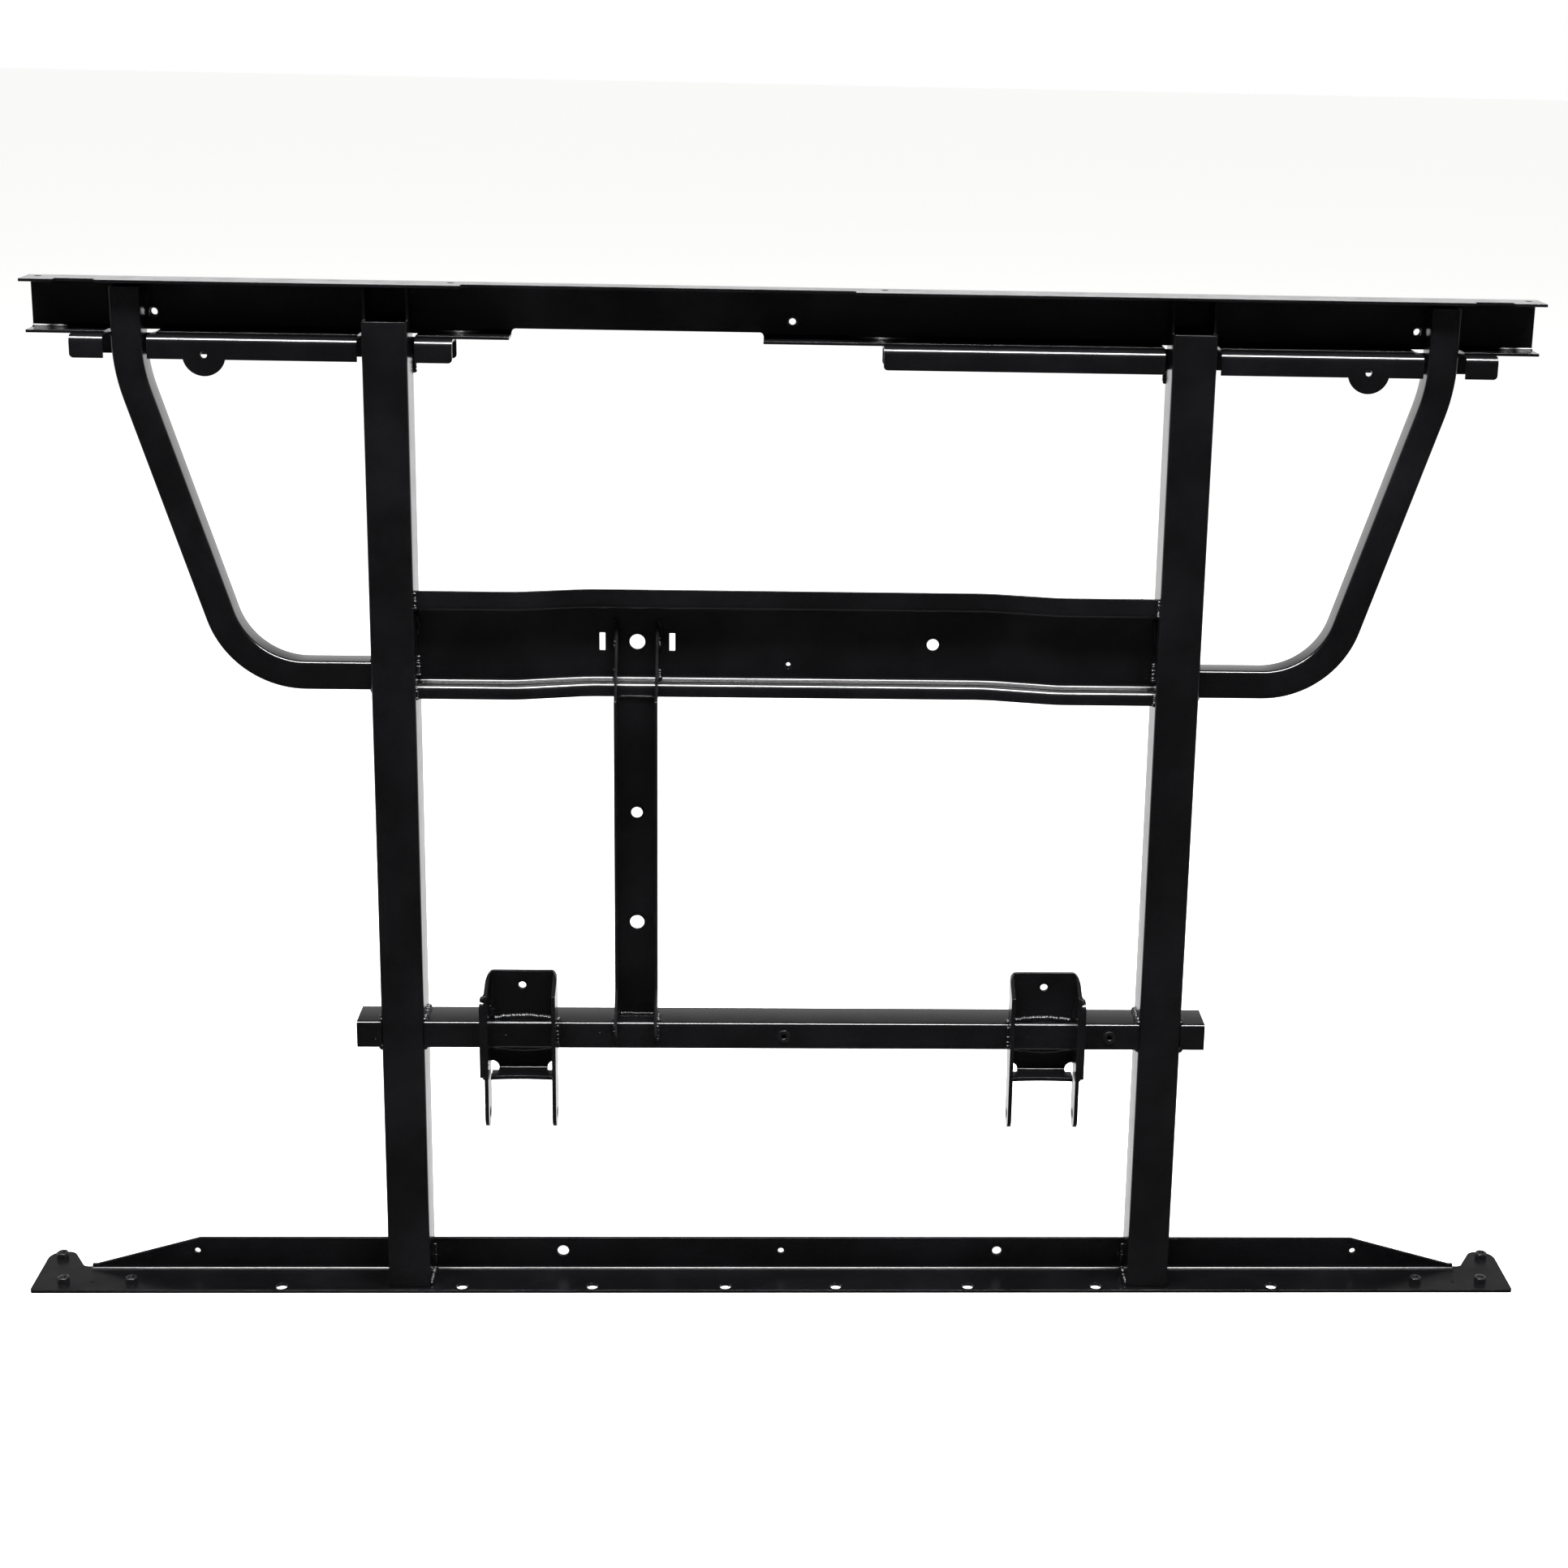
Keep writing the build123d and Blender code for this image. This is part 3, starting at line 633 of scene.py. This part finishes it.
def midChannelRuns():
    low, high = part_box("mid_channel")
    sheet = weldSizes["sheetMm"] * mm
    recess = weldSizes["midRecessMm"] * mm
    runs = []
    flangeBack = high.z - weldSizes["midFlangeMm"] * mm + sheet
    for x in (low.x, high.x):
        lip = low.y
        web = low.y + recess
        runs.append((straight((x, lip, high.z - 2 * mm), (x, lip, high.z - 15 * mm)), weldSizes["sheet"]))
        runs.append((straight((x, web, high.z - 24 * mm), (x, web, high.z - 40 * mm)), weldSizes["sheet"]))
        runs.append((straight((x, web, low.z + 34 * mm), (x, web, low.z + 18 * mm)), weldSizes["sheet"]))
        runs.append((straight((x, lip, low.z + 9 * mm), (x, lip, low.z + 1 * mm)), weldSizes["sheet"]))
        runs.append((
            straight((x, lip + 4 * mm, flangeBack), (x, web - 3 * mm, flangeBack)),
            weldSizes["tack"],
        ))
    return runs


def strutRuns():
    low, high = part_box("latch_strut")
    midLow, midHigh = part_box("mid_channel")
    tubeLow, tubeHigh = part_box("pivot_tube")
    sheet = weldSizes["sheetMm"] * mm
    webFront = midHigh.y - weldSizes["strutWebMm"] * mm
    midWeb = midHigh.y - sheet
    runs = []
    runs.append((
        straight((low.x + 6 * mm, webFront, midLow.z), (high.x - 6 * mm, webFront, midLow.z)),
        weldSizes["strut"],
    ))
    for x, away in ((low.x, -1), (high.x, 1)):
        outside = x + away * 0.5 * mm
        runs.append((
            straight((outside, midWeb, high.z - 1 * mm), (outside, midWeb, high.z - 24 * mm)),
            weldSizes["tack"],
        ))
        runs.append((
            straight((outside, midWeb, midLow.z + 20 * mm), (outside, midWeb, midLow.z + 14 * mm)),
            weldSizes["tack"],
        ))
        runs.append((
            straight((outside, tubeLow.y, tubeHigh.z - 15 * mm), (outside, tubeLow.y, tubeHigh.z - 3 * mm)),
            weldSizes["sheet"],
        ))
        runs.append((
            straight((outside, tubeLow.y + 4 * mm, tubeHigh.z), (outside, webFront, tubeHigh.z)),
            weldSizes["tack"],
        ))
    runs.append((
        straight((low.x + 5 * mm, webFront, tubeHigh.z), (high.x - 5 * mm, webFront, tubeHigh.z)),
        weldSizes["tack"],
    ))
    return runs


def bracketRuns(side):
    name = "left" if side < 0 else "right"
    low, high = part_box("hinge_bracket_" + name)
    tubeLow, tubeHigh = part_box("pivot_tube")
    doublerLow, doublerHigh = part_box("hinge_doubler_" + name)
    sheet = weldSizes["bracketSheetMm"] * mm
    webFront = high.y - sheet
    left = low.x + sheet + 4 * mm
    right = high.x - sheet - 4 * mm
    arch = weldSizes["archMm"] * mm
    steps = 12
    runs = []
    for z, away in ((tubeHigh.z, 1), (tubeLow.z, -1)):
        points = []
        for i in range(steps + 1):
            share = i / steps
            points.append(Vector((
                left + (right - left) * share, webFront, z + away * arch * math.sin(math.pi * share),
            )))
        runs.append((points, weldSizes["bracket"]))
    for x in (low.x, high.x):
        runs.append((
            straight((x, tubeLow.y, tubeLow.z + 3 * mm), (x, tubeLow.y, tubeHigh.z - 3 * mm)),
            weldSizes["tack"],
        ))
        runs.append((
            straight((x, tubeLow.y + 3 * mm, tubeHigh.z), (x, webFront, tubeHigh.z)),
            weldSizes["tack"],
        ))
    # the doubler is tacked to the outer ear round its top and down its back edge
    faceX = low.x if side < 0 else high.x
    middleY = (doublerLow.y + doublerHigh.y) / 2
    runs.append((
        straight(
            (faceX, middleY - 6 * mm, doublerHigh.z - 0.5 * mm),
            (faceX, middleY + 6 * mm, doublerHigh.z - 0.5 * mm),
        ),
        weldSizes["tack"],
    ))
    runs.append((
        straight(
            (faceX, doublerHigh.y - 1 * mm, tubeHigh.z + 4 * mm),
            (faceX, doublerHigh.y - 1 * mm, tubeHigh.z + 16 * mm),
        ),
        weldSizes["tack"],
    ))
    runs.append((
        straight(
            (faceX, doublerLow.y + 4 * mm, doublerLow.z),
            (faceX, doublerHigh.y - 4 * mm, doublerLow.z),
        ),
        weldSizes["tack"],
    ))
    return runs


def joinForContact(pieces):
    # one hidden copy of all the coated sheet, for the spatter to land on
    mesh = bmesh.new()
    for piece in pieces:
        mesh.from_mesh(piece.data)
    data = bpy.data.meshes.new("contactSurface")
    mesh.to_mesh(data)
    mesh.free()
    surface = bpy.data.objects.new("contactSurface", data)
    bpy.context.scene.collection.objects.link(surface)
    return surface


studio = {
    "floorHalf": 30.0,
    "floor": "#f7f7f6",
    "floorGlow": 0.9,
    "pale": "#ffffff",
    "paleStrength": 1.0,
    "backStrength": 1.35,
    "frontStrength": 0.015,
    "wallTop": (0.12, 0.52),
    "aboveWall": 0.05,
    "overheadWatts": 320,
    "overheadPlace": (0.0, -0.75, 2.9),
    "overheadSize": (2.8, 0.4),
}


def makeStudio():
    half = studio["floorHalf"]
    data = bpy.data.meshes.new("floor")
    corners = [(-half, -half, 0), (half, -half, 0), (half, half, 0), (-half, half, 0)]
    data.from_pydata(corners, [], [(0, 1, 2, 3)])
    floor = bpy.data.objects.new("floor", data)
    bpy.context.scene.collection.objects.link(floor)
    floor.visible_glossy = False  # the coat mirrors the studio, not the paper it stands on
    material, tree = newMaterial("matteStudioPaper")
    place = addNode(tree, "ShaderNodeTexCoord").outputs["Object"]
    fibre = addNode(tree, "ShaderNodeTexNoise", None, {"Vector": place, "Scale": scaleFor(3), "Detail": 4.0})
    bump = addNode(tree, "ShaderNodeBump", None, {"Height": fibre.outputs["Fac"], "Distance": 0.05 * mm})
    shader = addNode(tree, "ShaderNodeBsdfPrincipled", None, {
        "Base Color": linearColour(studio["floor"]), "Roughness": 0.9, "Normal": bump.outputs["Normal"],
        "Emission Color": linearColour(studio["floor"]), "Emission Strength": studio["floorGlow"],
    })
    addNode(tree, "ShaderNodeOutputMaterial", None, {"Surface": shader.outputs["BSDF"]})
    data.materials.append(material)

    # pale all round to look at, bright behind the frame and dark in front of it to light it
    world = bpy.data.worlds.new("studio")
    world.use_nodes = True
    tree = world.node_tree
    tree.nodes.clear()
    direction = addNode(tree, "ShaderNodeTexCoord").outputs["Generated"]
    parts = addNode(tree, "ShaderNodeSeparateXYZ", None, {"Vector": direction})
    glow = addNode(tree, "ShaderNodeMapRange", {"interpolation_type": "SMOOTHSTEP"}, {
        "Value": parts.outputs["Y"], "From Min": -0.35, "From Max": 0.75,
        "To Min": studio["frontStrength"], "To Max": studio["backStrength"],
    })
    # the bright wall behind ends part-way up, so level faces low on the frame stay dark
    fade = addNode(tree, "ShaderNodeMapRange", {"interpolation_type": "SMOOTHSTEP"}, {
        "Value": parts.outputs["Z"], "From Min": studio["wallTop"][0], "From Max": studio["wallTop"][1],
        "To Min": 1.0, "To Max": studio["aboveWall"],
    })
    level = addNode(tree, "ShaderNodeMath", {"operation": "MULTIPLY"}, {
        0: glow.outputs["Result"], 1: fade.outputs["Result"],
    })
    lights = addNode(tree, "ShaderNodeBackground", None, {
        "Color": linearColour(studio["pale"]), "Strength": level.outputs[0],
    })
    paper = addNode(tree, "ShaderNodeBackground", None, {
        "Color": linearColour(studio["pale"]), "Strength": studio["paleStrength"],
    })
    seen = addNode(tree, "ShaderNodeLightPath")
    mixed = addNode(tree, "ShaderNodeMixShader", None, {
        0: seen.outputs["Is Camera Ray"], 1: lights.outputs[0], 2: paper.outputs[0],
    })
    addNode(tree, "ShaderNodeOutputWorld", None, {"Surface": mixed.outputs[0]})
    bpy.context.scene.world = world

    light = bpy.data.lights.new("overhead", "AREA")
    light.shape = "RECTANGLE"
    light.size, light.size_y = studio["overheadSize"]
    light.energy = studio["overheadWatts"]
    lamp = bpy.data.objects.new("overhead", light)
    lamp.location = studio["overheadPlace"]
    aim = Vector((0, 0, 0.5)) - lamp.location
    lamp.rotation_euler = aim.to_track_quat("-Z", "Y").to_euler()
    bpy.context.scene.collection.objects.link(lamp)
    bpy.context.scene.view_settings.view_transform = "Standard"


makeCamera()
makeStudio()
print("camera and studio ready")

steelCoat = makeCoat(powderCoat)
beadCoat = makeCoat(weldCoat)
nutFinish = makeCoat(nutCoat)
plating = makePlating()

coated = []
for node in sorted(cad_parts):
    if node == "pivot_rivet_nuts":
        makeCoatedPiece(node, plating, coatedPiece["nutEdgeMm"])
        makeThreads(node, plating)
    elif node in threads:
        makeCoatedPiece(node, nutFinish, coatedPiece["nutEdgeMm"])
        makeThreads(node, nutFinish)
    else:
        coated.append(makeCoatedPiece(node, steelCoat, coatedPiece["edgeMm"]))
print("coated pieces ready:", len(coated))

surface = joinForContact(coated)
allRuns = {
    "rails_left": railRuns(-1) + sideTubeHeadRuns(-1),
    "rails_right": railRuns(1) + sideTubeHeadRuns(1),
    "mid_channel": midChannelRuns(),
    "latch_strut": strutRuns(),
    "hinge_left": bracketRuns(-1),
    "hinge_right": bracketRuns(1),
}
for area, runs in allRuns.items():
    beads = makeBeads("weld_beads_" + area, runs, beadCoat)
    makeSpatter("weld_spatter_" + area, runs, surface, beadCoat)
    print("welds ready:", area, len(beads.data.polygons), "faces")
bpy.data.objects.remove(surface)
